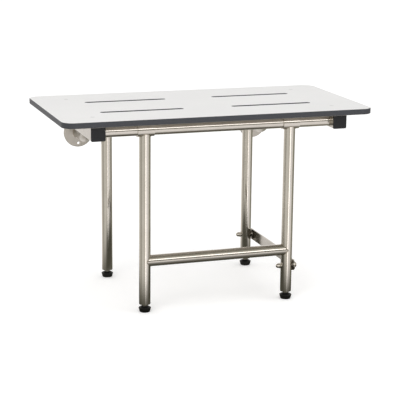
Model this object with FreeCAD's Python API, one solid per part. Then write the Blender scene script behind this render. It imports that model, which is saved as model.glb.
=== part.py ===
"""Folding shower bench: a slotted seat board on a tube frame that swings up against the wall.

Millimetres, +Z up.  X runs along the seat, +Y points to the wall, and the origin lies on the floor
under the middle of the bench's footprint.  The seat folds about the rear tube, the front legs hang
from the front tube, and a strap beside the right legs keeps the front legs upright as it folds.
"""
import math
import os

import FreeCAD
import Part

# ---- seat board
seat_width = 711.2
seat_depth = 364.0
seat_thickness = 12.7
seat_height = 438.15  # floor to the seat's top face
seat_corner_radius = 25.4
laminate_thickness = 0.3
board_edge_chamfer = 1.0  # on every outer edge and slot edge, through the laminate into the core
slot_width = 12.7
slot_inner_end = 57.0  # from the middle of the seat
slot_to_rail = 15.0  # from a slot's outer end to the rail's inner face
slot_row_inset = 114.0  # from the seat's front and rear edges
wall_gap = 55.0  # from the seat's rear edge to the wall

# ---- screws that hold the seat on its rails
screw_row_inset = 61.0  # from the seat's front and rear edges
screw_diameter = 6.0
screw_head_diameter = 9.4
screw_head_height = 4.0
plug_thickness = 3.0
counterbore_clearance = 0.1
head_clearance = 0.3
rivet_nut_diameter = 9.0
rivet_nut_flange_diameter = 12.0
rivet_nut_flange = 1.0
rivet_nut_length = 14.0

# ---- side rails
rail_wall = 1.5
rail_room = 0.225  # between a pivot bush and the rail's inner faces
rail_corner_radius = 4.0
seat_overhang = 77.6  # from a rail's centre line to the seat's end
rail_inset = 12.0  # from the seat's front and rear edges to the faces of the rail caps
cap_head = 3.0
cap_corner_radius = 3.0
cap_edge_round = 1.0
cap_plug_depth = 12.0
cap_plug_wall = 2.5
cap_to_bush = 1.0
plug_clearance = 0.15

# ---- round tubes
tube_diameter = 25.4
tube_wall = 1.5
front_axis_depth = 40.0  # front tube, behind the seat's front edge
rear_axis_inset = 38.0  # rear tube, ahead of the seat's rear edge
weld_gap = 0.05

# ---- legs
front_leg_inset = 110.0  # from the rail's centre line inwards
rear_leg_inset = 101.0
leg_bottom = 18.0
crossbar_height = 116.0
sleeve_length = 38.0
sleeve_wall = 2.3
running_clearance = 0.05

# ---- rear pivot bushes and the plugs that close the rear tube
bush_wall = 1.4
bush_flange_margin = 0.4
bush_flange = 2.0
bush_depth = 10.0
bush_end_play = 0.3
end_plug_head = 3.0
end_plug_depth = 14.0

# ---- wall posts and flanges
post_inset = 55.0  # from the rail's centre line inwards
flange_drop = 71.5  # from the rear tube's axis down to the flanges' centres
flange_diameter = 69.85
flange_thickness = 4.8
flange_edge_round = 1.2
flange_hole_circle = 52.0
flange_hole_diameter = 6.5
flange_hole_count = 3
post_bend_radius = 40.0

# ---- link strap and its bolts
strap_height = 78.5
strap_width = 25.4
strap_thickness = 3.2
strap_hole_clearance = 0.3
strap_flat = 24.0  # from the front bolt back to the crank, which lets the front end sit further in
crank_length = 50.0
bolt_diameter = 6.35
bolt_hole_clearance = 0.1
hex_across_flats = 11.1
bolt_head_height = 4.4
head_washer_thickness = 1.6
leg_washer_thickness = 1.0
washer_diameter = 16.0
nut_hex_length = 5.0
nut_dome_length = 7.5
nut_dome_step = 0.4  # from the hexagon's flats in to the dome
thread_depth = 7.0
thread_room = 1.5
face_clearance = 0.15

# ---- levelling feet
pad_base_radius = 10.2
pad_edge_radius = 11.8
pad_edge_height = 1.8
pad_rim_radius = 13.9
pad_rim_low = 8.4
pad_rim_high = 10.0
pad_hub_radius = 7.4
pad_height = 13.5
pad_socket_depth = 7.0
stem_diameter = 8.0
stem_length = 46.0
stem_tip_chamfer = 1.0
foot_nut_across_flats = 11.0
foot_nut_height = 3.6
insert_depth = 22.0
insert_clearance = 0.1
stem_clearance = 0.05

# ---- places worked out from the sizes above
front_y = -(seat_depth + wall_gap) / 2
wall_y = -front_y
seat_bottom = seat_height - seat_thickness
rear_y = front_y + seat_depth
tube_radius = tube_diameter / 2
tube_bore_radius = tube_radius - tube_wall
bush_bore_radius = tube_radius + running_clearance
bush_radius = bush_bore_radius + bush_wall
rail_size = 2 * (bush_radius + rail_room + rail_wall)
bush_flange_radius = rail_size / 2 - bush_flange_margin
rail_x = seat_width / 2 - seat_overhang
axis_height = seat_bottom - rail_size / 2
front_axis_y = front_y + front_axis_depth
rear_axis_y = rear_y - rear_axis_inset
slot_rows = (front_y + slot_row_inset, rear_y - slot_row_inset)
slot_outer_end = rail_x - rail_size / 2 - slot_to_rail
slot_centre_x = (slot_inner_end + slot_outer_end) / 2
slot_length = slot_outer_end - slot_inner_end
screw_rows = (front_y + screw_row_inset, rear_y - screw_row_inset)
rear_cap_plug_depth = rear_axis_inset - rail_inset - cap_head - bush_radius - cap_to_bush
front_leg_x = rail_x - front_leg_inset
rear_leg_x = rail_x - rear_leg_inset
post_x = rail_x - post_inset
flange_height = axis_height - flange_drop
sleeve_bore_radius = tube_radius + running_clearance
sleeve_radius = sleeve_bore_radius + sleeve_wall
counterbore_depth = plug_thickness + screw_head_height
counterbore_diameter = screw_head_diameter + 2 * head_clearance
bolt_radius = bolt_diameter / 2
leg_to_strap = tube_radius + leg_washer_thickness + 2 * face_clearance
strap_end_radius = strap_width / 2
foot_places = {
    "front_left": (-front_leg_x, front_axis_y),
    "front_right": (front_leg_x, front_axis_y),
    "rear_left": (-rear_leg_x, rear_axis_y),
    "rear_right": (rear_leg_x, rear_axis_y),
}
sides = {"left": -1, "right": 1}

X_AXIS = FreeCAD.Vector(1, 0, 0)
Y_AXIS = FreeCAD.Vector(0, 1, 0)
Z_AXIS = FreeCAD.Vector(0, 0, 1)
OVERCUT = 5.0  # how far a cutter runs past the faces that it opens
TOUCH = 1e-4  # two places nearer than this are the same place


def point(x, y, z):
    return FreeCAD.Vector(x, y, z)


def rod(radius, start, direction, length):
    """A solid cylinder from start along direction."""
    return Part.makeCylinder(radius, length, start, direction)


def pipe(outer_radius, inner_radius, start, direction, length):
    """A round tube with open ends."""
    return rod(outer_radius, start, direction, length).cut(rod(inner_radius, start, direction, length))


def block(x_range, y_range, z_range):
    size = [high - low for low, high in (x_range, y_range, z_range)]
    return Part.makeBox(*size, point(x_range[0], y_range[0], z_range[0]))


def edges_along(shape, direction):
    """The straight edges of a shape that run along one direction."""
    straight = [edge for edge in shape.Edges if isinstance(edge.Curve, Part.Line)]
    return [edge for edge in straight if abs(edge.Curve.Direction.dot(direction)) > 0.99]


def rounded_block(x_range, y_range, z_range, radius, direction):
    """A block with the four edges along one direction rounded."""
    plain = block(x_range, y_range, z_range)
    return plain.makeFillet(radius, edges_along(plain, direction))


def edges_at_height(shape, z):
    """The edges that lie wholly at one height."""
    return [edge for edge in shape.Edges
            if max(abs(edge.BoundBox.ZMin - z), abs(edge.BoundBox.ZMax - z)) < TOUCH]


def edges_at_depth(shape, y):
    """The edges that lie wholly in one plane across Y."""
    return [edge for edge in shape.Edges
            if max(abs(edge.BoundBox.YMin - y), abs(edge.BoundBox.YMax - y)) < TOUCH]


def hexagon(across_flats, start, direction, length):
    """A hexagonal prism from start along direction."""
    across_corners = across_flats / math.cos(math.pi / 6)
    corners = []
    for index in range(7):
        turn = index * math.pi / 3
        corners.append(point(across_corners / 2 * math.cos(turn), across_corners / 2 * math.sin(turn), 0))
    prism = Part.Face(Part.makePolygon(corners)).extrude(point(0, 0, length))
    prism.Placement = FreeCAD.Placement(start, FreeCAD.Rotation(Z_AXIS, direction))
    return prism


def turned(outline, x, y):
    """A solid of revolution about the vertical through x, y, from (radius, height) points."""
    corners = [point(radius, 0, height) for radius, height in outline]
    wire = Part.makePolygon(corners + corners[:1])
    solid = Part.Face(wire).revolve(point(0, 0, 0), Z_AXIS, 360)
    solid.translate(point(x, y, 0))
    return solid


# ---------------------------------------------------------------- seat board
def slot_cutter(centre_x, centre_y):
    """One round-ended drain slot, running along X through the whole board."""
    half_run = (slot_length - slot_width) / 2
    low = seat_bottom - OVERCUT
    height = seat_thickness + 2 * OVERCUT
    middle = block((centre_x - half_run, centre_x + half_run),
                   (centre_y - slot_width / 2, centre_y + slot_width / 2),
                   (low, low + height))
    ends = [rod(slot_width / 2, point(centre_x + side * half_run, centre_y, low), Z_AXIS, height)
            for side in (-1, 1)]
    return middle.fuse(ends).removeSplitter()


def screw_places():
    """The seat screws' places, one pair over each rail."""
    return [(side * rail_x, y) for side in sides.values() for y in screw_rows]


def seat_board():
    """The whole board with its drain slots, and every edge chamfered top and bottom."""
    board = rounded_block((-seat_width / 2, seat_width / 2), (front_y, rear_y),
                          (seat_bottom, seat_height), seat_corner_radius, Z_AXIS)
    slots = [slot_cutter(side * slot_centre_x, y) for side in sides.values() for y in slot_rows]
    board = board.cut(slots)
    edges = edges_at_height(board, seat_bottom) + edges_at_height(board, seat_height)
    return board.makeChamfer(board_edge_chamfer, edges)


def seat_layer(bottom, top):
    """One layer of the board between two heights, with its screw holes."""
    layer = block((-seat_width, seat_width), (-seat_depth, seat_depth), (bottom, top))
    return seat_board().common(layer).cut(seat_hole_cutters())


def seat_hole_cutters():
    """Counterbored screw holes from the seat's top face down."""
    cutters = []
    for x, y in screw_places():
        cutters.append(rod(counterbore_diameter / 2, point(x, y, seat_height - counterbore_depth), Z_AXIS,
                           counterbore_depth + OVERCUT))
        cutters.append(rod(screw_diameter / 2 + head_clearance, point(x, y, seat_bottom - OVERCUT), Z_AXIS,
                           seat_thickness + OVERCUT))
    return cutters


def seat_core():
    return seat_layer(seat_bottom + laminate_thickness, seat_height - laminate_thickness)


def seat_top_laminate():
    return seat_layer(seat_height - laminate_thickness, seat_height)


def seat_bottom_laminate():
    return seat_layer(seat_bottom, seat_bottom + laminate_thickness)


def seat_screws():
    """Pan-head screws through the board into the rivet nuts in the rails."""
    screws = []
    head_bottom = seat_height - counterbore_depth
    thread_end = seat_bottom - rivet_nut_length + rivet_nut_flange
    for x, y in screw_places():
        head = rod(screw_head_diameter / 2, point(x, y, head_bottom), Z_AXIS, screw_head_height)
        shank = rod(screw_diameter / 2, point(x, y, thread_end), Z_AXIS, head_bottom - thread_end)
        screws.append(head.fuse(shank))
    return Part.makeCompound(screws)


def seat_screw_plugs():
    """Flush round plugs that hide the screw heads."""
    radius = counterbore_diameter / 2 - counterbore_clearance
    plugs = [rod(radius, point(x, y, seat_height - plug_thickness), Z_AXIS, plug_thickness)
             for x, y in screw_places()]
    return Part.makeCompound(plugs)


def rail_rivet_nuts():
    """Threaded rivet nuts in the rails' top walls, flanges against the walls' inner faces."""
    nuts = []
    bottom = seat_bottom - rivet_nut_length
    flange_bottom = seat_bottom - rail_wall - rivet_nut_flange
    for x, y in screw_places():
        body = rod(rivet_nut_diameter / 2, point(x, y, bottom), Z_AXIS, rivet_nut_length)
        flange = rod(rivet_nut_flange_diameter / 2, point(x, y, flange_bottom), Z_AXIS, rivet_nut_flange)
        thread = rod(screw_diameter / 2 + running_clearance, point(x, y, bottom - OVERCUT), Z_AXIS,
                     rivet_nut_length + 2 * OVERCUT)
        nuts.append(body.fuse(flange).cut(thread))
    return Part.makeCompound(nuts)


# ---------------------------------------------------------------- rails and caps
def square_section(side, size, corner, depth_range, centre_height):
    """A bar of rounded square section along Y, on one side's rail line."""
    return rounded_block((side * rail_x - size / 2, side * rail_x + size / 2), depth_range,
                         (centre_height - size / 2, centre_height + size / 2), corner, Y_AXIS)


def rail(side):
    """A square side rail, holed for the seat screws and for the rear pivot's bushes."""
    run = (front_y + rail_inset + cap_head, rear_y - rail_inset - cap_head)
    outer = square_section(side, rail_size, rail_corner_radius, run, axis_height)
    inner = square_section(side, rail_size - 2 * rail_wall, rail_corner_radius - rail_wall, run, axis_height)
    cutters = [rod(bush_radius + weld_gap, point(side * rail_x - rail_size, rear_axis_y, axis_height),
                   X_AXIS, 2 * rail_size)]
    for x, y in screw_places():
        cutters.append(rod(rivet_nut_diameter / 2 + weld_gap, point(x, y, axis_height), Z_AXIS, rail_size))
    return outer.cut(inner).cut(cutters)


def rail_cap(side, face_y, inward, plug_depth):
    """A square end cap: a head as large as the rail and a hollow plug inside it."""
    head_inner_y = face_y + inward * cap_head
    plug_end_y = head_inner_y + inward * plug_depth
    head = square_section(side, rail_size, cap_corner_radius, sorted((face_y, head_inner_y)), axis_height)
    head = head.makeFillet(cap_edge_round, edges_at_depth(head, face_y))
    plug_size = rail_size - 2 * (rail_wall + plug_clearance)
    plug_run = sorted((head_inner_y, plug_end_y))
    plug = square_section(side, plug_size, rail_corner_radius - rail_wall, plug_run, axis_height)
    hollow = square_section(side, plug_size - 2 * cap_plug_wall, cap_edge_round, plug_run, axis_height)
    return head.fuse(plug.cut(hollow))


# ---------------------------------------------------------------- cross tubes and the rear pivot
def front_tube():
    """The front cross tube, welded between the rails' inner faces."""
    half = rail_x - rail_size / 2
    return pipe(tube_radius, tube_bore_radius, point(-half, front_axis_y, axis_height), X_AXIS, 2 * half)


def rear_tube_half():
    """Half the rear tube's length: past the rails and the flanges of their bushes."""
    return rail_x + rail_size / 2 + bush_flange + bush_end_play


def rear_tube():
    """The fixed rear cross tube, which the rails turn on."""
    half = rear_tube_half()
    return pipe(tube_radius, tube_bore_radius, point(-half, rear_axis_y, axis_height), X_AXIS, 2 * half)


def rear_tube_plugs():
    """Round plugs in the rear tube's ends, which also stop the rails sliding off."""
    plugs = []
    plug_radius = tube_bore_radius - plug_clearance
    for side in sides.values():
        end = point(side * rear_tube_half(), rear_axis_y, axis_height)
        head = rod(bush_flange_radius, end, X_AXIS * side, end_plug_head)
        stem = rod(plug_radius, end - X_AXIS * side * end_plug_depth, X_AXIS * side, end_plug_depth)
        plugs.append(head.fuse(stem))
    return Part.makeCompound(plugs)


def pivot_bushes(side):
    """Two flanged bushes, pressed into a rail from its inner and outer faces."""
    bushes = []
    for facing in (-1, 1):
        face = point(side * rail_x + facing * rail_size / 2, rear_axis_y, axis_height)
        inward = X_AXIS * -facing
        sleeve = rod(bush_radius, face, inward, bush_depth)
        flange = rod(bush_flange_radius, face - inward * bush_flange, inward, bush_flange)
        bore = rod(bush_bore_radius, face - inward * OVERCUT, inward, bush_depth + 2 * OVERCUT)
        bushes.append(sleeve.fuse(flange).cut(bore))
    return Part.makeCompound(bushes)


# ---------------------------------------------------------------- legs
def sleeve(x, y):
    """A short sleeve round a cross tube, which a leg is welded under."""
    return pipe(sleeve_radius, sleeve_bore_radius, point(x - sleeve_length / 2, y, axis_height),
                X_AXIS, sleeve_length)


def leg(x, y, bolted):
    """A leg tube, coped to its sleeve, and drilled across where a strap bolt passes."""
    tube = pipe(tube_radius, tube_bore_radius, point(x, y, leg_bottom), Z_AXIS, axis_height - leg_bottom)
    cutters = [rod(sleeve_radius + weld_gap, point(x - sleeve_length, y, axis_height), X_AXIS,
                   2 * sleeve_length)]
    if bolted:
        cutters.append(rod(bolt_radius + bolt_hole_clearance, point(x - tube_diameter, y, strap_height),
                           X_AXIS, 2 * tube_diameter))
    return tube.cut(cutters)


def crossbar():
    """The bar between the front legs, coped to both."""
    bar = pipe(tube_radius, tube_bore_radius, point(-front_leg_x, front_axis_y, crossbar_height), X_AXIS,
               2 * front_leg_x)
    low = crossbar_height - tube_diameter
    copes = [rod(tube_radius + weld_gap, point(side * front_leg_x, front_axis_y, low), Z_AXIS,
                 2 * tube_diameter) for side in sides.values()]
    return bar.cut(copes)


# ---------------------------------------------------------------- wall posts and flanges
def post_run(radius, side):
    """A solid of a given radius along a post: forward from the flange, then up to the rear tube."""
    x = side * post_x
    bend_y = rear_axis_y + post_bend_radius
    bend_z = flange_height + post_bend_radius
    flange_front = wall_y - flange_thickness
    level = rod(radius, point(x, bend_y, flange_height), Y_AXIS, flange_front - bend_y)
    upright = rod(radius, point(x, rear_axis_y, bend_z), Z_AXIS, axis_height - bend_z)
    circle = Part.makeCircle(radius, point(x, rear_axis_y, bend_z), Z_AXIS)
    elbow = Part.Face(Part.Wire(circle)).revolve(point(x, bend_y, bend_z), X_AXIS, 90)
    return level.fuse([elbow, upright]).removeSplitter()


def wall_post(side):
    """A bent post tube, coped to the rear tube."""
    cope = rod(tube_radius + weld_gap, point(side * post_x - tube_diameter, rear_axis_y, axis_height), X_AXIS,
               2 * tube_diameter)
    return post_run(tube_radius, side).cut(post_run(tube_bore_radius, side)).cut(cope)


def wall_flange(side):
    """A round flange that stands flat on the wall, with one screw hole at its lowest point."""
    x = side * post_x
    front = wall_y - flange_thickness
    disc = rod(flange_diameter / 2, point(x, front, flange_height), Y_AXIS, flange_thickness)
    disc = disc.makeFillet(flange_edge_round, edges_at_depth(disc, front))
    holes = []
    for index in range(flange_hole_count):
        turn = -math.pi / 2 + index * 2 * math.pi / flange_hole_count
        place = point(x + flange_hole_circle / 2 * math.cos(turn), front - OVERCUT,
                      flange_height + flange_hole_circle / 2 * math.sin(turn))
        holes.append(rod(flange_hole_diameter / 2, place, Y_AXIS, flange_thickness + 2 * OVERCUT))
    return disc.cut(holes)


# ---------------------------------------------------------------- link strap and its bolts
def link_strap():
    """A flat strap with round ends, cranked in near its front end to meet the front leg."""
    rear_x = rear_leg_x + leg_to_strap
    front_x = front_leg_x + leg_to_strap
    rear_end = rear_axis_y + strap_end_radius
    front_end = front_axis_y - strap_end_radius
    crank_front = front_axis_y + strap_flat
    inner = [(rear_x, rear_end), (rear_x, crank_front + crank_length), (front_x, crank_front),
             (front_x, front_end)]
    outer = [(x + strap_thickness, y) for x, y in reversed(inner)]
    corners = [point(x, y, strap_height - strap_end_radius) for x, y in inner + outer]
    plate = Part.Face(Part.makePolygon(corners + corners[:1])).extrude(point(0, 0, strap_width))
    low_x = min(rear_x, front_x) - OVERCUT
    reach = abs(rear_x - front_x) + strap_thickness + 2 * OVERCUT
    outline = block((low_x, low_x + reach), (front_axis_y, rear_axis_y),
                    (strap_height - strap_end_radius, strap_height + strap_end_radius))
    holes = []
    for y, clearance in ((front_axis_y, strap_hole_clearance), (rear_axis_y, running_clearance)):
        outline = outline.fuse(rod(strap_end_radius, point(low_x, y, strap_height), X_AXIS, reach))
        holes.append(rod(bolt_radius + clearance, point(low_x, y, strap_height), X_AXIS, reach))
    return plate.common(outline.removeSplitter()).cut(holes)


def strap_outer_x(leg_x):
    """The strap's outer face beside a leg."""
    return leg_x + leg_to_strap + strap_thickness


def strap_bolt(leg_x, y):
    """A hex bolt from outside the strap, through the leg, into a cap nut on the inner side."""
    head_x = strap_outer_x(leg_x) + face_clearance + head_washer_thickness
    nut_face_x = leg_x - tube_radius
    tip_x = nut_face_x - thread_depth
    shank = rod(bolt_radius, point(tip_x, y, strap_height), X_AXIS, head_x - tip_x)
    head = hexagon(hex_across_flats, point(head_x, y, strap_height), X_AXIS, bolt_head_height)
    return shank.fuse(head)


def cap_nut(leg_x, y):
    """A domed cap nut against the leg's inner side."""
    face = point(leg_x - tube_radius, y, strap_height)
    dome_radius = hex_across_flats / 2 - nut_dome_step
    hexagonal = hexagon(hex_across_flats, face, -X_AXIS, nut_hex_length)
    barrel_length = nut_dome_length - dome_radius
    barrel_start = face - X_AXIS * nut_hex_length
    barrel = rod(dome_radius, barrel_start, -X_AXIS, barrel_length)
    ball = Part.makeSphere(dome_radius, barrel_start - X_AXIS * barrel_length)
    thread = rod(bolt_radius + running_clearance, face + X_AXIS, -X_AXIS, thread_depth + thread_room)
    return hexagonal.fuse([barrel, ball]).removeSplitter().cut(thread)


def washer(start_x, y, thickness):
    """A washer round a strap bolt."""
    return pipe(washer_diameter / 2, bolt_radius + bolt_hole_clearance, point(start_x, y, strap_height),
                X_AXIS, thickness)


def head_washer(leg_x, y):
    """The washer under a strap bolt's head."""
    return washer(strap_outer_x(leg_x) + face_clearance, y, head_washer_thickness)


def leg_washer(leg_x, y):
    """The thin washer between a leg and the strap."""
    return washer(leg_x + tube_radius + face_clearance, y, leg_washer_thickness)


# ---------------------------------------------------------------- levelling feet
def foot_pad(x, y):
    """A round pad that widens up to its rim, then slopes in to a hub with a socket for the stem."""
    outline = [
        (0, 0), (pad_base_radius, 0), (pad_edge_radius, pad_edge_height), (pad_rim_radius, pad_rim_low),
        (pad_rim_radius, pad_rim_high), (pad_hub_radius, pad_height), (0, pad_height),
    ]
    socket = rod(stem_diameter / 2 + stem_clearance, point(x, y, pad_height - pad_socket_depth), Z_AXIS,
                 pad_socket_depth + OVERCUT)
    return turned(outline, x, y).cut(socket)


def foot_stem(x, y):
    """A threaded stem with a hex collar that sits on the pad."""
    stem = rod(stem_diameter / 2, point(x, y, pad_height - pad_socket_depth), Z_AXIS, stem_length)
    collar = hexagon(foot_nut_across_flats, point(x, y, pad_height), Z_AXIS, foot_nut_height)
    top_edge = edges_at_height(stem, pad_height - pad_socket_depth + stem_length)
    return stem.makeChamfer(stem_tip_chamfer, top_edge).fuse(collar)


def leg_insert(x, y):
    """A steel insert, flush with a leg's end and threaded for the foot's stem."""
    return pipe(tube_bore_radius - insert_clearance, stem_diameter / 2 + stem_clearance,
                point(x, y, leg_bottom), Z_AXIS, insert_depth)


# ---------------------------------------------------------------- the assembly
def nodes():
    """Every node of the bench, by name."""
    parts = {
        "seat_core": seat_core(),
        "seat_top_laminate": seat_top_laminate(),
        "seat_bottom_laminate": seat_bottom_laminate(),
        "seat_screws": seat_screws(),
        "seat_screw_plugs": seat_screw_plugs(),
        "rail_rivet_nuts": rail_rivet_nuts(),
        "front_tube": front_tube(),
        "rear_tube": rear_tube(),
        "rear_tube_plugs": rear_tube_plugs(),
        "crossbar": crossbar(),
        "link_strap": link_strap(),
        "front_strap_bolt": strap_bolt(front_leg_x, front_axis_y),
        "rear_strap_bolt": strap_bolt(rear_leg_x, rear_axis_y),
        "front_cap_nut": cap_nut(front_leg_x, front_axis_y),
        "rear_cap_nut": cap_nut(rear_leg_x, rear_axis_y),
        "front_leg_washer": leg_washer(front_leg_x, front_axis_y),
        "rear_leg_washer": leg_washer(rear_leg_x, rear_axis_y),
        "front_head_washer": head_washer(front_leg_x, front_axis_y),
        "rear_head_washer": head_washer(rear_leg_x, rear_axis_y),
    }
    front_face = front_y + rail_inset
    rear_face = rear_y - rail_inset
    for name, side in sides.items():
        parts[name + "_rail"] = rail(side)
        parts[name + "_rail_front_cap"] = rail_cap(side, front_face, 1, cap_plug_depth)
        parts[name + "_rail_rear_cap"] = rail_cap(side, rear_face, -1, rear_cap_plug_depth)
        parts[name + "_pivot_bushes"] = pivot_bushes(side)
        parts[name + "_wall_post"] = wall_post(side)
        parts[name + "_wall_flange"] = wall_flange(side)
        parts["front_" + name + "_sleeve"] = sleeve(side * front_leg_x, front_axis_y)
        parts["rear_" + name + "_sleeve"] = sleeve(side * rear_leg_x, rear_axis_y)
        parts["front_" + name + "_leg"] = leg(side * front_leg_x, front_axis_y, name == "right")
        parts["rear_" + name + "_leg"] = leg(side * rear_leg_x, rear_axis_y, name == "right")
    for name, (x, y) in foot_places.items():
        parts[name + "_foot_pad"] = foot_pad(x, y)
        parts[name + "_foot_stem"] = foot_stem(x, y)
        parts[name + "_leg_insert"] = leg_insert(x, y)
    return parts


def main():
    os.makedirs("parts", exist_ok=True)
    for name, shape in nodes().items():
        shape.exportStep("parts/" + name + ".step")
        print(name, len(shape.Solids), round(shape.Volume), shape.isValid())


main()
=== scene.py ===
import math

import bmesh
import bpy
from mathutils import Matrix, Vector


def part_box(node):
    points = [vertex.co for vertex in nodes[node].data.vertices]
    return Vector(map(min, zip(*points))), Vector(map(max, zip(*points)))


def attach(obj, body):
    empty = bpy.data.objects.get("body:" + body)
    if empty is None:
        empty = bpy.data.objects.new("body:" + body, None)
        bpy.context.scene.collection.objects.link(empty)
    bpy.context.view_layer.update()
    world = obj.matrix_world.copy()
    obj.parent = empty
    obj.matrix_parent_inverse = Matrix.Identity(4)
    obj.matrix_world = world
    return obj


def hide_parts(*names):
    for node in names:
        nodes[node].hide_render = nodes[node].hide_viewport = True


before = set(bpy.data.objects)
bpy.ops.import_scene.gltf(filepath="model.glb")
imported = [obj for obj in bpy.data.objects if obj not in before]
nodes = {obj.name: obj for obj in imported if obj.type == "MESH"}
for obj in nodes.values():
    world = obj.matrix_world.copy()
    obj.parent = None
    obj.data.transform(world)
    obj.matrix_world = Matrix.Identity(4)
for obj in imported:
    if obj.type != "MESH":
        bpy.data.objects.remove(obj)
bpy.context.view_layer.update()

MM = 0.001

SIDES = {"left": -1, "right": 1}
CORNERS = ("front_left", "front_right", "rear_left", "rear_right")
CORNER_BODY = {name: name + "_foot" for name in CORNERS}
LEG_BODY = {"front": "front_legs", "rear": "wall_frame"}


def centre(node):
    """The middle of a CAD node's box."""
    low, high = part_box(node)
    return (low + high) / 2


def size(node):
    """The lengths of a CAD node's box."""
    low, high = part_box(node)
    return high - low


# places and radii read from the frame
FRONT_AXIS = centre("front_tube")
REAR_AXIS = centre("rear_tube")
CROSSBAR = centre("crossbar")
TUBE_RADIUS = size("front_tube").z / 2
SLEEVE_RADIUS = size("front_left_sleeve").z / 2


# ---------------------------------------------------------------- node graphs
class Graph:
    """A small helper that adds shader nodes and links them."""

    def __init__(self, tree):
        self.tree = tree
        tree.nodes.clear()

    def add(self, kind, inputs=None, **settings):
        node = self.tree.nodes.new(kind)
        for key, value in settings.items():
            setattr(node, key, value)
        for key, value in (inputs or {}).items():
            self.feed(node.inputs[key], value)
        return node

    def feed(self, socket, value):
        if isinstance(value, bpy.types.NodeSocket):
            self.tree.links.new(value, socket)
        else:
            socket.default_value = value

    def math(self, operation, first, second=0.0, third=0.0):
        node = self.add("ShaderNodeMath", operation=operation)
        for socket, value in zip(node.inputs, (first, second, third)):
            self.feed(socket, value)
        return node.outputs[0]

    def ramp(self, factor, stops):
        """A colour ramp from (position, colour) stops; a plain number is a grey."""
        node = self.add("ShaderNodeValToRGB", {"Fac": factor})
        ramp = node.color_ramp
        while len(ramp.elements) < len(stops):
            ramp.elements.new(0.5)
        for element, (place, colour) in zip(ramp.elements, stops):
            element.position = place
            element.color = (colour, colour, colour, 1) if isinstance(colour, float) else (*colour, 1)
        return node.outputs["Color"]

    def mix(self, factor, first, second):
        """A mix of two colours, each a socket or three numbers."""
        node = self.add("ShaderNodeMix", data_type="RGBA")
        self.feed(node.inputs["Factor"], factor)
        for socket, value in ((node.inputs[6], first), (node.inputs[7], second)):
            self.feed(socket, value if isinstance(value, bpy.types.NodeSocket) else (*value, 1))
        return node.outputs[2]

    def mix_shaders(self, factor, first, second):
        """A node that goes from the first shader node to the second as the factor goes from 0 to 1."""
        return self.add("ShaderNodeMixShader", {0: factor, 1: first.outputs[0], 2: second.outputs[0]})

    def noise(self, vector, scale, detail=3.0, roughness=0.5):
        inputs = {"Vector": vector, "Scale": scale, "Detail": detail, "Roughness": roughness}
        node = self.add("ShaderNodeTexNoise", inputs)
        return node.outputs["Fac"]

    def stretched(self, vector, stretch):
        node = self.add("ShaderNodeMapping", {"Vector": vector, "Scale": stretch})
        return node.outputs["Vector"]

    def bump(self, height, distance, strength):
        inputs = {"Height": height, "Distance": distance, "Strength": strength}
        return self.add("ShaderNodeBump", inputs).outputs["Normal"]


def material(name, build, **constants):
    """A material whose shader takes its constants directly, and the rest from build(graph, place)."""
    made = bpy.data.materials.new(name)
    made.use_nodes = True
    graph = Graph(made.node_tree)
    place = graph.add("ShaderNodeTexCoord").outputs["Object"]
    shader = graph.add("ShaderNodeBsdfPrincipled")
    for key, value in constants.items():
        shader.inputs[key.replace("_", " ")].default_value = value
    for key, value in build(graph, place).items():
        graph.feed(shader.inputs[key], value)
    graph.add("ShaderNodeOutputMaterial", {"Surface": shader.outputs["BSDF"]})
    return made


# ---------------------------------------------------------------- materials
SATIN_TINTS = ((0.57, 0.538, 0.486), (0.67, 0.638, 0.59))
# darker steel colours for the rails, strap, flanges and posts: partly their duller brushed finish, partly
# painted shade that also dims the reflections in them
DULL_AND_SHADED_TINTS = ((0.47, 0.443, 0.402), (0.57, 0.542, 0.503))
WELD_TINTS = ((0.27, 0.225, 0.17), (0.44, 0.39, 0.32))
SPOT_ROUGHNESS = 0.06


def steel(name, grain, smooth, rough, anisotropy=0.25, tangent=None, tints=SATIN_TINTS):
    """Satin stainless steel: fine scratches, cloudy polish and faint water marks.

    grain is the stretch of the scratch noise along X, Y and Z, in cells per metre."""

    def build(graph, place):
        scratches = graph.noise(graph.stretched(place, grain), scale=1.0, detail=4.0, roughness=0.65)
        clouds = graph.noise(place, scale=18.0)
        marks = graph.noise(place, scale=140.0, detail=5.0, roughness=0.7)
        tone = graph.math("MULTIPLY_ADD", clouds, 0.6, graph.math("MULTIPLY", scratches, 0.4))
        colour = graph.ramp(tone, [(0.3, tints[0]), (0.7, tints[1])])
        spread = graph.math("MULTIPLY_ADD", scratches, rough - smooth, smooth)
        spots = graph.math("MULTIPLY", graph.math("SUBTRACT", marks, 0.5), SPOT_ROUGHNESS)
        fed = {"Base Color": colour, "Roughness": graph.math("ADD", spread, spots),
               "Normal": graph.bump(scratches, distance=0.01 * MM, strength=0.2)}
        if tangent:
            round_axis = graph.add("ShaderNodeTangent", direction_type="RADIAL", axis=tangent)
            fed["Tangent"] = round_axis.outputs["Tangent"]
        return fed

    return material(name, build, Metallic=1.0, Anisotropic=anisotropy)


def laminate():
    """White decorative laminate with a fine suede grain and the faintest clouding."""

    def build(graph, place):
        grain = graph.noise(place, scale=2600.0, detail=2.0, roughness=0.6)
        suede = graph.noise(place, scale=900.0, detail=4.0, roughness=0.6)
        clouds = graph.noise(place, scale=6.0, detail=4.0)
        tone = graph.math("MULTIPLY_ADD", suede, 0.3, graph.math("MULTIPLY", clouds, 0.7))
        colour = graph.ramp(tone, [(0.3, (0.765, 0.765, 0.762)), (0.7, (0.805, 0.803, 0.797))])
        height = graph.math("MULTIPLY_ADD", grain, 0.4, suede)
        return {"Base Color": colour, "Roughness": graph.math("MULTIPLY_ADD", suede, 0.16, 0.4),
                "Normal": graph.bump(height, distance=0.06 * MM, strength=0.5)}

    return material("white_laminate", build)


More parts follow.
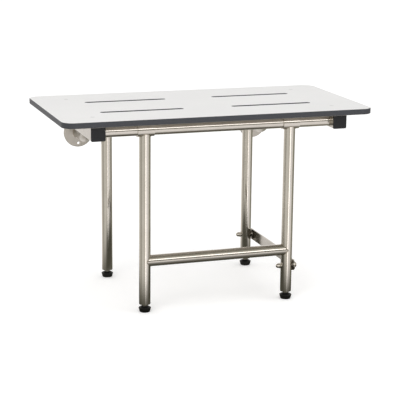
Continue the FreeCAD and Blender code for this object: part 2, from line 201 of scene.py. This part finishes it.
def phenolic():
    """Dark solid core: pressed paper layers on the cut edge, with milling marks."""

    def build(graph, place):
        layers = graph.noise(graph.stretched(place, (14.0, 14.0, 3400.0)), scale=1.0, detail=2.0)
        milling = graph.noise(graph.stretched(place, (700.0, 700.0, 25.0)), scale=1.0, roughness=0.6)
        dust = graph.noise(place, scale=320.0, detail=5.0, roughness=0.7)
        tone = graph.math("MULTIPLY_ADD", layers, 0.6, graph.math("MULTIPLY", dust, 0.4))
        colour = graph.ramp(tone, [(0.3, (0.034, 0.038, 0.047)), (0.55, (0.053, 0.058, 0.07)),
                                   (0.75, (0.09, 0.096, 0.11))])
        height = graph.math("MULTIPLY_ADD", layers, 0.5, milling)
        return {"Base Color": colour, "Roughness": graph.math("MULTIPLY_ADD", milling, 0.25, 0.4),
                "Normal": graph.bump(height, distance=0.08 * MM, strength=0.45)}

    return material("phenolic_core", build)


def moulded(name, dark, pale, smooth, rough, grain, depth, shine=0.5):
    """Moulded plastic or rubber with a spark-eroded grain, rubbed paler in places."""

    def build(graph, place):
        eroded = graph.noise(place, scale=grain, detail=4.0, roughness=0.65)
        rubbed = graph.noise(place, scale=60.0, detail=4.0, roughness=0.6)
        tone = graph.math("MULTIPLY_ADD", rubbed, 0.65, graph.math("MULTIPLY", eroded, 0.35))
        colour = graph.ramp(tone, [(0.35, dark), (0.7, pale)])
        return {"Base Color": colour,
                "Roughness": graph.math("MULTIPLY_ADD", eroded, rough - smooth, smooth),
                "Normal": graph.bump(eroded, distance=depth, strength=0.5)}

    return material(name, build, Specular_IOR_Level=shine)


ALONG, ACROSS = 60.0, 3200.0         # scratch noise cells per metre along and across the polish
STEEL_X = steel("satin_steel_along_x", (ACROSS, ALONG, ALONG), smooth=0.1, rough=0.17, tangent="X")
STEEL_Z = steel("satin_steel_along_z", (ALONG, ALONG, ACROSS), smooth=0.11, rough=0.18, tangent="Z")
# the rails, strap, flanges and posts take the darker tints, which hold painted shade as well as a duller
# finish
STEEL_RAIL = steel("brushed_steel_rail", (ACROSS, ALONG, ACROSS), smooth=0.2, rough=0.3, tints=DULL_AND_SHADED_TINTS)
STEEL_STRAP = steel("brushed_steel_strap", (ACROSS, ALONG, ACROSS), smooth=0.12, rough=0.18, tints=DULL_AND_SHADED_TINTS)
STEEL_FLANGE = steel("brushed_steel_flange", (ALONG, ALONG, ACROSS), smooth=0.32, rough=0.44,
                     tints=DULL_AND_SHADED_TINTS)
STEEL_POST = steel("satin_steel_post", (900.0, 900.0, 900.0), smooth=0.24, rough=0.34, anisotropy=0.0,
                   tints=DULL_AND_SHADED_TINTS)
STEEL_WELD = steel("weld_bead_steel", (500.0, 500.0, 500.0), smooth=0.26, rough=0.42, anisotropy=0.0,
                   tints=WELD_TINTS)
STEEL_BRIGHT = steel("turned_steel", (2200.0, 2200.0, 2200.0), smooth=0.12, rough=0.2, anisotropy=0.0)
LAMINATE = laminate()
CORE = phenolic()
BLACK_PLASTIC = moulded("black_plastic", (0.006, 0.007, 0.009), (0.013, 0.014, 0.017),
                        smooth=0.34, rough=0.5, grain=1500.0, depth=0.08 * MM, shine=0.34)
RUBBER = moulded("black_rubber", (0.004, 0.004, 0.004), (0.01, 0.01, 0.01),
                 smooth=0.36, rough=0.52, grain=1100.0, depth=0.1 * MM, shine=0.4)
NYLON = moulded("natural_nylon", (0.68, 0.67, 0.62), (0.78, 0.77, 0.73),
                smooth=0.38, rough=0.5, grain=1300.0, depth=0.06 * MM)
PLUG_WHITE = moulded("white_plug", (0.56, 0.56, 0.555), (0.63, 0.63, 0.625),
                     smooth=0.3, rough=0.42, grain=1600.0, depth=0.04 * MM)

FINISH = {
    "seat_core": CORE, "seat_top_laminate": LAMINATE, "seat_bottom_laminate": LAMINATE,
    "seat_screw_plugs": PLUG_WHITE, "seat_screws": STEEL_BRIGHT, "rail_rivet_nuts": STEEL_BRIGHT,
    "front_tube": STEEL_X, "rear_tube": STEEL_X, "crossbar": STEEL_X, "rear_tube_plugs": BLACK_PLASTIC,
    "link_strap": STEEL_STRAP,
}
for side in SIDES:
    FINISH[side + "_rail"] = STEEL_RAIL
    FINISH[side + "_rail_front_cap"] = BLACK_PLASTIC
    FINISH[side + "_rail_rear_cap"] = BLACK_PLASTIC
    FINISH[side + "_pivot_bushes"] = NYLON
    FINISH[side + "_wall_post"] = STEEL_POST
    FINISH[side + "_wall_flange"] = STEEL_FLANGE
    for end in LEG_BODY:
        FINISH[end + "_" + side + "_leg"] = STEEL_Z
        FINISH[end + "_" + side + "_sleeve"] = STEEL_X
for name, node in nodes.items():
    node.data.materials.clear()
    node.data.materials.append(FINISH.get(name, STEEL_BRIGHT))


# ---------------------------------------------------------------- mesh pieces
AXIS_X, AXIS_Y, AXIS_Z = Vector((1, 0, 0)), Vector((0, 1, 0)), Vector((0, 0, 1))
MERGE_WITHIN = 0.0001 * MM
ROUND_SEGMENTS = 72
HEX_SEGMENTS = 96


def piece(name, vertices, faces, finish, body, smooth_angle=35):
    """A mesh object that rides on a body, with its sharp edges kept by angle."""
    mesh = bpy.data.meshes.new(name)
    mesh.from_pydata(vertices, [], faces)
    shape = bmesh.new()
    shape.from_mesh(mesh)
    bmesh.ops.remove_doubles(shape, verts=shape.verts, dist=MERGE_WITHIN)
    bmesh.ops.recalc_face_normals(shape, faces=shape.faces)
    shape.to_mesh(mesh)
    shape.free()
    mesh.materials.append(finish)
    mesh.shade_smooth()
    mesh.set_sharp_from_angle(angle=math.radians(smooth_angle))
    made = bpy.data.objects.new(name, mesh)
    bpy.context.scene.collection.objects.link(made)
    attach(made, body)
    return made


def lathe(radius_at, rows, segments, place, direction):
    """Vertices and faces of a closed turned form.

    rows are (radius, height) pairs from one end to the other; radius_at(radius, height, angle) may
    change the radius round the turn, so that hexagons come out of the same rows."""
    turn = AXIS_Z.rotation_difference(direction).to_matrix()
    vertices, faces = [], []
    for radius, height in rows:
        for index in range(segments):
            angle = 2 * math.pi * index / segments
            reach = radius_at(radius, height, angle)
            vertices.append(place + turn @ Vector((reach * math.cos(angle), reach * math.sin(angle), height)))
    for row in range(len(rows) - 1):
        low, high = row * segments, (row + 1) * segments
        for index in range(segments):
            after = (index + 1) % segments
            faces.append((low + index, low + after, high + after, high + index))
    faces.append(tuple(reversed(range(segments))))
    faces.append(tuple(range((len(rows) - 1) * segments, len(rows) * segments)))
    return vertices, faces


def plain_radius(radius, height, angle):
    """A radius rule that keeps the rows round."""
    return radius


def hexagon_radius(across_flats):
    """A radius rule that holds the rows inside a hexagon."""
    def rule(radius, height, angle):
        sector = (angle + math.pi / 6) % (math.pi / 3) - math.pi / 6
        return min(radius, across_flats / 2 / math.cos(sector))
    return rule


def arc(centre_radius, centre_height, radius, start, end, steps):
    """Rows along an arc of a turned outline; angles in degrees from the outward radius."""
    rows = []
    for step in range(steps + 1):
        angle = math.radians(start + (end - start) * step / steps)
        rows.append((centre_radius + radius * math.cos(angle), centre_height + radius * math.sin(angle)))
    return rows


# ---------------------------------------------------------------- levelling feet
PAD_CENTRE_RADIUS = 2.2 * MM
PAD_GROOVES = (3.4 * MM, 5.7 * MM, 8.0 * MM)         # inner radii of the ring grooves in the sole
GROOVE_WIDTH = 1.2 * MM
GROOVE_SLOPE = 0.3 * MM
GROOVE_DEPTH = 0.6 * MM
PAD_BASE_ROUND = 1.8 * MM
PAD_EDGE_RADIUS = 11.8 * MM
PAD_RIM_HEIGHT = 9.2 * MM
PAD_RIM_ROUND = 0.9 * MM
PAD_HUB_RADIUS = 7.4 * MM
PAD_HUB_ROUND = 0.5 * MM
PAD_SOCKET_RADIUS = 4.1 * MM


def foot_pad(corner):
    """A rubber pad: a ringed sole, a side that flares to a rim, and a shoulder that slopes to the stem."""
    node = corner + "_foot_pad"
    low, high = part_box(node)
    place = Vector(((low.x + high.x) / 2, (low.y + high.y) / 2, low.z))
    radius = (high.x - low.x) / 2
    height = high.z - low.z
    rows = [(PAD_CENTRE_RADIUS, 0.0)]
    for inner in PAD_GROOVES:
        outer = inner + GROOVE_WIDTH
        rows += [(inner, 0.0), (inner + GROOVE_SLOPE, GROOVE_DEPTH),
                 (outer - GROOVE_SLOPE, GROOVE_DEPTH), (outer, 0.0)]
    rows += arc(PAD_EDGE_RADIUS - PAD_BASE_ROUND, PAD_BASE_ROUND, PAD_BASE_ROUND, start=-90, end=-15, steps=6)
    rows += arc(radius - PAD_RIM_ROUND, PAD_RIM_HEIGHT, PAD_RIM_ROUND, start=-40, end=62, steps=8)
    hub_height = height - PAD_HUB_ROUND
    rows += arc(PAD_HUB_RADIUS - PAD_HUB_ROUND, hub_height, PAD_HUB_ROUND, start=50, end=90, steps=4)
    rows += [(PAD_SOCKET_RADIUS, height)]
    vertices, faces = lathe(plain_radius, rows, ROUND_SEGMENTS, place, AXIS_Z)
    made = piece(corner + "_pad_detail", vertices, faces, RUBBER, CORNER_BODY[corner])
    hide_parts(node)


THREAD_PITCH = 1.25 * MM
THREAD_DEPTH = 0.55 * MM
THREAD_SEGMENTS = 36
ROWS_PER_PITCH = 6
STEM_RADIUS = 4.0 * MM
COLLAR_SIZE = 11.0 * MM
COLLAR_HEIGHT = 3.6 * MM
HEX_CHAMFER = 0.9 * MM
CHAMFER_FALL = 0.6 * HEX_CHAMFER     # how far the turned-off corners fall below the flat end
CHAMFER_CURVE = 1.5
FACE_SHARE = 0.97                    # the flat end's circle against the hexagon's inner circle
CHAMFER_STEPS = 4


def threaded_rod(radius, start, length, direction):
    """A rod with a helical thread, closed at both ends."""

    def rule(base, height, angle):
        if base < radius:
            return base
        phase = (height / THREAD_PITCH - angle / (2 * math.pi)) % 1
        return radius - THREAD_DEPTH * (1 - abs(2 * phase - 1))

    count = int(length / THREAD_PITCH * ROWS_PER_PITCH)
    rows = [(radius - 2 * THREAD_DEPTH, 0.0)]
    rows += [(radius, THREAD_PITCH / 2 + (length - THREAD_PITCH) * row / count) for row in range(count + 1)]
    rows += [(radius - 2 * THREAD_DEPTH, length)]
    return lathe(rule, rows, THREAD_SEGMENTS, start, direction)


def corner_radius(across_flats):
    """The radius of a hexagon's corners."""
    return across_flats / math.cos(math.pi / 6) / 2


def chamfered_hexagon(across_flats, length, start, direction, both_ends=True):
    """A hexagonal body whose corners are turned off at one or both ends."""
    corner = corner_radius(across_flats)
    inner = across_flats / 2 * FACE_SHARE
    shares = [step / CHAMFER_STEPS for step in range(CHAMFER_STEPS + 1)]
    chamfer = [(inner + (corner - inner) * share, CHAMFER_FALL * share ** CHAMFER_CURVE) for share in shares]
    rows = chamfer if both_ends else [(corner, 0.0)]
    rows = rows + [(radius, length - fall) for radius, fall in reversed(chamfer)]
    return lathe(hexagon_radius(across_flats), rows, HEX_SEGMENTS, start, direction)


def joined(*forms):
    """Several closed forms as one list of vertices and faces."""
    vertices, faces = [], []
    for some_vertices, some_faces in forms:
        offset = len(vertices)
        vertices += some_vertices
        faces += [tuple(index + offset for index in face) for face in some_faces]
    return vertices, faces


def foot_stem(corner):
    """The threaded stem and its hex collar."""
    node = corner + "_foot_stem"
    low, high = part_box(node)
    middle = Vector(((low.x + high.x) / 2, (low.y + high.y) / 2, 0))
    pad_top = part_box(corner + "_foot_pad")[1].z
    rod = threaded_rod(STEM_RADIUS, middle + low.z * AXIS_Z, high.z - low.z, AXIS_Z)
    collar = chamfered_hexagon(COLLAR_SIZE, COLLAR_HEIGHT, middle + pad_top * AXIS_Z, AXIS_Z)
    vertices, faces = joined(rod, collar)
    made = piece(corner + "_stem_detail", vertices, faces, STEEL_BRIGHT, CORNER_BODY[corner])
    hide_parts(node)


# ---------------------------------------------------------------- strap bolts and cap nuts
HEX_SIZE = 11.1 * MM
BOLT_HEAD = 4.4 * MM
SHANK_RADIUS = 3.175 * MM
SHANK_CHAMFER = SHANK_RADIUS / 5
SHANK_SEGMENTS = 48
NUT_HEX = 5.0 * MM                   # length of the cap nut's hexagon
NUT_DOME_STEP = 0.4 * MM             # how far the dome's foot lies inside the flats
NUT_SHOULDER = 0.05 * MM


def strap_bolt(end):
    """A hex bolt: a chamfered head and a plain shank."""
    node = end + "_strap_bolt"
    low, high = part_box(node)
    axis = centre(node)
    head_start = Vector((high.x - BOLT_HEAD, axis.y, axis.z))
    shank_start = Vector((low.x, axis.y, axis.z))
    head = chamfered_hexagon(HEX_SIZE, BOLT_HEAD, head_start, AXIS_X, both_ends=False)
    length = high.x - BOLT_HEAD / 2 - low.x
    rows = [(SHANK_RADIUS - SHANK_CHAMFER, 0.0), (SHANK_RADIUS, SHANK_CHAMFER), (SHANK_RADIUS, length)]
    shank = lathe(plain_radius, rows, SHANK_SEGMENTS, shank_start, AXIS_X)
    vertices, faces = joined(head, shank)
    made = piece(end + "_bolt_detail", vertices, faces, STEEL_BRIGHT, LEG_BODY[end])
    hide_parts(node)


def cap_nut(end):
    """A domed cap nut: chamfered hexagon, neck and polished dome, in one turned skin."""
    node = end + "_cap_nut"
    low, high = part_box(node)
    axis = centre(node)
    start = Vector((high.x, axis.y, axis.z))
    length = high.x - low.x
    corner = corner_radius(HEX_SIZE)
    dome = HEX_SIZE / 2 - NUT_DOME_STEP
    rows = [(corner - HEX_CHAMFER, 0.0), (corner, HEX_CHAMFER / 2), (corner, NUT_HEX - HEX_CHAMFER / 2)]
    rows += [(corner - HEX_CHAMFER, NUT_HEX - NUT_SHOULDER), (dome, NUT_HEX)]
    rows += arc(0.0, length - dome, dome, start=0, end=86, steps=14)
    vertices, faces = lathe(hexagon_radius(HEX_SIZE), rows, HEX_SEGMENTS, start, -AXIS_X)
    made = piece(end + "_nut_detail", vertices, faces, STEEL_BRIGHT, LEG_BODY[end])
    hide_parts(node)


# ---------------------------------------------------------------- weld beads
BEAD_RADIUS = 0.9 * MM
BEAD_SPOKES = 10
RIPPLE_PITCH = 1.6 * MM
RIPPLE_DEPTH = 0.1                   # share of the bead's radius
BRANCH_RADIUS = 0.995 * TUBE_RADIUS  # a hair under the main tube's, where both tubes have the same size


def bead(name, path, body):
    """A rippled weld bead round a closed path of points."""
    count = len(path)
    reach = [0.0]
    for index in range(count):
        reach.append(reach[-1] + (path[(index + 1) % count] - path[index]).length)
    ripples = round(reach[-1] / RIPPLE_PITCH)
    vertices, faces = [], []
    middle = sum(path, Vector()) / count
    for index, point in enumerate(path):
        along = (path[(index + 1) % count] - path[index - 1]).normalized()
        outward = (point - middle).normalized()
        side = along.cross(outward).normalized()
        outward = side.cross(along).normalized()
        wave = abs(math.sin(math.pi * ripples * reach[index] / reach[-1]))
        radius = BEAD_RADIUS * (1 - RIPPLE_DEPTH + RIPPLE_DEPTH * wave)
        for spoke in range(BEAD_SPOKES):
            angle = 2 * math.pi * spoke / BEAD_SPOKES
            vertices.append(point + radius * (math.cos(angle) * outward + math.sin(angle) * side))
    for index in range(count):
        low, high = index * BEAD_SPOKES, (index + 1) % count * BEAD_SPOKES
        for spoke in range(BEAD_SPOKES):
            after = (spoke + 1) % BEAD_SPOKES
            faces.append((low + spoke, low + after, high + after, high + spoke))
    return piece(name, vertices, faces, STEEL_WELD, body, smooth_angle=60)


def saddle(middle, tube_axis, branch_axis, main_radius, branch_radius, steps=120):
    """The curve where a branch tube meets a main tube at right angles, from the main tube's axis."""
    third = tube_axis.cross(branch_axis)
    path = []
    for step in range(steps):
        angle = 2 * math.pi * step / steps
        across = branch_radius * math.sin(angle)
        rise = math.sqrt(max(main_radius ** 2 - across ** 2, 0.0))
        along = branch_radius * math.cos(angle)
        path.append(middle + along * tube_axis + across * third + rise * branch_axis)
    return path


def ring(middle, normal, radius, steps=96):
    """A circle of points about a line."""
    turn = AXIS_Z.rotation_difference(normal).to_matrix()
    angles = [2 * math.pi * step / steps for step in range(steps)]
    return [middle + radius * (turn @ Vector((math.cos(angle), math.sin(angle), 0))) for angle in angles]


def welds():
    """A bead wherever two tubes, or a tube and a flange or rail, are welded together."""
    for side, sign in SIDES.items():
        for end, body in LEG_BODY.items():
            sleeve = centre(end + "_" + side + "_sleeve")
            bead(end + "_" + side + "_sleeve_weld",
                 saddle(sleeve, AXIS_X, -AXIS_Z, SLEEVE_RADIUS, TUBE_RADIUS), body)
        leg = centre("front_" + side + "_leg")
        bead("crossbar_" + side + "_weld",
             saddle(Vector((leg.x, leg.y, CROSSBAR.z)), AXIS_Z, -sign * AXIS_X, TUBE_RADIUS, BRANCH_RADIUS),
             "front_legs")
        post = centre(side + "_wall_post")
        flange_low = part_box(side + "_wall_flange")[0]
        flange = centre(side + "_wall_flange")
        bead(side + "_flange_weld",
             ring(Vector((flange.x, flange_low.y, flange.z)), AXIS_Y, TUBE_RADIUS), "wall_frame")
        bead(side + "_post_weld",
             saddle(Vector((post.x, REAR_AXIS.y, REAR_AXIS.z)), AXIS_X, -AXIS_Z, TUBE_RADIUS, BRANCH_RADIUS),
             "wall_frame")
        rail_face = centre(side + "_rail").x - sign * size(side + "_rail").x / 2
        bead(side + "_rail_weld",
             ring(Vector((rail_face, FRONT_AXIS.y, FRONT_AXIS.z)), AXIS_X, TUBE_RADIUS), "seat")


for corner_name in CORNERS:
    foot_pad(corner_name)
    foot_stem(corner_name)
for end_name in LEG_BODY:
    strap_bolt(end_name)
    cap_nut(end_name)
welds()


# ---------------------------------------------------------------- floor, light and camera
FLOOR_GLOW = 0.22
FLOOR_REACH = 14.0
QUARTERS = ((-1, -1), (1, -1), (1, 1), (-1, 1))


def square(name, middle, reach):
    """A flat square mesh about a point, reaching as far to each side."""
    mesh = bpy.data.meshes.new(name)
    mesh.from_pydata([middle + reach * Vector((x, y, 0)) for x, y in QUARTERS], [], [(0, 1, 2, 3)])
    return mesh


def stage_object(name, mesh):
    """A scene object that isn't part of the bench."""
    made = bpy.data.objects.new(name, mesh)
    bpy.context.scene.collection.objects.link(made)
    return made


def floor():
    """A pale floor with a slight glow, hidden from mirrored and bounced light."""
    mesh = square("floor", Vector(), FLOOR_REACH)

    def build(graph, place):
        clouds = graph.noise(place, scale=1.5)
        return {"Base Color": graph.ramp(clouds, [(0.3, (0.93, 0.93, 0.93)), (0.7, (0.96, 0.96, 0.96))]),
                "Roughness": graph.math("MULTIPLY_ADD", clouds, 0.1, 0.8)}

    mesh.materials.append(material("pale_floor", build, Specular_IOR_Level=0.1, Emission_Color=(1, 1, 1, 1),
                                   Emission_Strength=FLOOR_GLOW))
    made = stage_object("floor", mesh)
    made.visible_glossy = False
    made.visible_diffuse = False


PANEL_RED = 1.03
PANEL_BLUE, BLUE_GAIN = 0.74, 0.22


def panel(level):
    """The colour of a studio surface: warm where it is dim, nearly white where it is bright."""
    blue = PANEL_BLUE + BLUE_GAIN * min(level, 1.0)
    return level * PANEL_RED, level, level * PANEL_RED * blue


# (azimuth, brightness) of the room's panels and gaps, where azimuth 0 lies in front of the object
LOW_ROOM = [(-180, 1.1), (-130, 0.8), (-95, 0.4), (-60, 0.8), (-5, 0.7), (0, 2.5), (8, 2.5), (14, 1.0),
            (55, 1.0), (70, 0.4), (100, 0.25), (150, 0.5), (180, 1.1)]
HIGH_ROOM = [(-180, 1.2), (-90, 0.5), (0, 0.2), (50, 0.2), (180, 1.2)]
UPPER_ROOM, CEILING, LAMP = 0.55, 0.2, 2.7
MATTE_ABOVE, MATTE_BELOW = (0.9, 0.9, 0.9), (0.54, 0.49, 0.43)
# elevations, in degrees, over which one part of the room gives way to the next
LOW_TO_HIGH = (-9, -4)
HIGH_TO_UPPER = (26, 32)
UPPER_TO_CEILING = (40, 66)
MATTE_TURNS = (-6, 8)
# the lamp strip: elevations of its lower and upper edge, azimuths of its left and right edge
LAMP_LOWER, LAMP_UPPER = (11, 14), (24, 30)
LAMP_LEFT, LAMP_RIGHT = (-80, -60), (70, 90)


def lamp_mask(start, end):
    """Stops that go up over the first pair of angles and down over the second."""
    return (start[0], 0.0), (start[1], 1.0), (end[0], 1.0), (end[1], 0.0)


def studio():
    """Plain white behind the bench, soft light on matte surfaces, and a room for the metal to mirror."""
    world = bpy.data.worlds.new("studio")
    bpy.context.scene.world = world
    world.use_nodes = True
    graph = Graph(world.node_tree)
    way = graph.add("ShaderNodeTexCoord").outputs["Generated"]
    x, y, z = graph.add("ShaderNodeSeparateXYZ", {"Vector": way}).outputs
    turn = graph.math("ARCTAN2", x, graph.math("MULTIPLY", y, -1.0))
    azimuth = graph.math("MULTIPLY_ADD", turn, 1 / (2 * math.pi), 0.5)
    elevation = graph.math("MULTIPLY_ADD", graph.math("ARCSINE", z), 1 / math.pi, 0.5)

    def by_elevation(*stops):
        """A ramp from (elevation in degrees, amount) stops."""
        return graph.ramp(elevation, [(angle / 180 + 0.5, amount) for angle, amount in stops])

    def by_azimuth(*stops):
        """A ramp from (azimuth in degrees, amount) stops."""
        return graph.ramp(azimuth, [(angle / 360 + 0.5, amount) for angle, amount in stops])

    def edge(angles):
        """A mask that goes from 0 to 1 between two elevations."""
        return by_elevation((angles[0], 0.0), (angles[1], 1.0))

    low_room = by_azimuth(*[(angle, panel(level)) for angle, level in LOW_ROOM])
    high_room = by_azimuth(*[(angle, panel(level)) for angle, level in HIGH_ROOM])
    room = graph.mix(edge(LOW_TO_HIGH), low_room, high_room)
    facing = by_azimuth(*lamp_mask(LAMP_LEFT, LAMP_RIGHT))
    strip = by_elevation(*lamp_mask(LAMP_LOWER, LAMP_UPPER))
    room = graph.mix(graph.math("MULTIPLY", strip, facing), room, panel(LAMP))
    upper = graph.mix(edge(HIGH_TO_UPPER), room, panel(UPPER_ROOM))
    mirrored = graph.mix(edge(UPPER_TO_CEILING), upper, panel(CEILING))
    metal_sees = graph.add("ShaderNodeBackground", {"Color": mirrored, "Strength": 1.0})
    matte = by_elevation((MATTE_TURNS[0], MATTE_BELOW), (MATTE_TURNS[1], MATTE_ABOVE))
    matte_sees = graph.add("ShaderNodeBackground", {"Color": matte, "Strength": 1.0})
    camera_sees = graph.add("ShaderNodeBackground", {"Color": (1.0, 1.0, 1.0, 1.0), "Strength": 1.0})
    ray = graph.add("ShaderNodeLightPath").outputs
    indirect = graph.mix_shaders(ray["Is Glossy Ray"], matte_sees, metal_sees)
    seen = graph.mix_shaders(ray["Is Camera Ray"], indirect, camera_sees)
    graph.add("ShaderNodeOutputWorld", {"Surface": seen.outputs[0]})


SHADE_REACH = 1.6
SHADE_HEIGHT = 0.2 * MM      # above the floor
SHADE_SOFTNESS = 0.2         # metres over which the shade fades beyond the feet
SHADE_LEVEL = 0.09


def floor_shade():
    """A card that only mirrored rays see: the bench's shade on the floor, dark under its front half."""
    corners = [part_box(corner + "_foot_pad") for corner in CORNERS]
    low = Vector((min(box[0].x for box in corners), min(box[0].y for box in corners), 0))
    high = Vector((max(box[1].x for box in corners), 0, 0))
    middle, half = (low + high) / 2, (high - low) / 2
    mesh = square("floor_shade", middle + SHADE_HEIGHT * AXIS_Z, SHADE_REACH)
    shade = bpy.data.materials.new("floor_shade")
    shade.use_nodes = True
    graph = Graph(shade.node_tree)
    place = graph.add("ShaderNodeTexCoord").outputs["Object"]
    x, y = graph.add("ShaderNodeSeparateXYZ", {"Vector": place}).outputs[:2]

    def beyond(value, centre_value, half_value):
        """How far a value lies outside a span."""
        away = graph.math("ABSOLUTE", graph.math("SUBTRACT", value, centre_value))
        return graph.math("MAXIMUM", graph.math("SUBTRACT", away, half_value), 0.0)

    across = beyond(x, middle.x, half.x)
    along = beyond(y, middle.y, half.y)
    squared = graph.math("ADD", graph.math("MULTIPLY", across, across), graph.math("MULTIPLY", along, along))
    shaded = graph.math("EXPONENT", graph.math("MULTIPLY", squared, -1 / SHADE_SOFTNESS ** 2))
    dark = graph.add("ShaderNodeEmission", {"Color": (*panel(SHADE_LEVEL), 1), "Strength": 1.0})
    mixed = graph.mix_shaders(shaded, graph.add("ShaderNodeBsdfTransparent"), dark)
    graph.add("ShaderNodeOutputMaterial", {"Surface": mixed.outputs[0]})
    mesh.materials.append(shade)
    made = stage_object("floor_shade", mesh)
    made.visible_camera = False
    made.visible_diffuse = False
    made.visible_shadow = False
    made.visible_transmission = False


LIGHT_AIM = Vector((0, 0, 0.3))


def softbox(name, place, width, power, colour):
    """A large area light that points at the middle of the bench."""
    lamp = bpy.data.lights.new(name, "AREA")
    lamp.shape = "SQUARE"
    lamp.size = width
    lamp.energy = power
    lamp.color = colour
    made = bpy.data.objects.new(name, lamp)
    made.location = place
    made.rotation_euler = (LIGHT_AIM - Vector(place)).to_track_quat("-Z", "Y").to_euler()
    made.visible_glossy = False
    bpy.context.scene.collection.objects.link(made)


CAMERA_PLACE = Vector((-0.9975, -2.9623, 0.9536))
CAMERA_YAW = 0.3315
CAMERA_PITCH = 0.2355
CAMERA_ROLL = 0.0106
CAMERA_LENS = 123.9
CAMERA_SHIFT = -0.0053


def camera():
    """A long lens from the front left, a little above the seat."""
    forward = Vector((math.sin(CAMERA_YAW) * math.cos(CAMERA_PITCH),
                      math.cos(CAMERA_YAW) * math.cos(CAMERA_PITCH), -math.sin(CAMERA_PITCH)))
    right = forward.cross(AXIS_Z).normalized()
    top = right.cross(forward)
    tilted_right = math.cos(CAMERA_ROLL) * right + math.sin(CAMERA_ROLL) * top
    tilted_top = -math.sin(CAMERA_ROLL) * right + math.cos(CAMERA_ROLL) * top
    lens = bpy.data.cameras.new("camera")
    lens.lens = CAMERA_LENS
    lens.sensor_width = 36.0
    lens.shift_x = CAMERA_SHIFT
    lens.clip_end = 100.0
    made = bpy.data.objects.new("camera", lens)
    made.matrix_world = Matrix.LocRotScale(
        CAMERA_PLACE, Matrix((tilted_right, tilted_top, -forward)).transposed(), None)
    bpy.context.scene.collection.objects.link(made)
    bpy.context.scene.camera = made


floor()
floor_shade()
studio()
softbox("key", place=(-2.2, -2.4, 2.6), width=2.0, power=30, colour=(1.0, 0.99, 0.97))
softbox("fill", place=(2.6, -1.2, 2.2), width=2.4, power=12, colour=(1.0, 1.0, 1.0))
camera()
bpy.context.scene.view_settings.view_transform = "Standard"
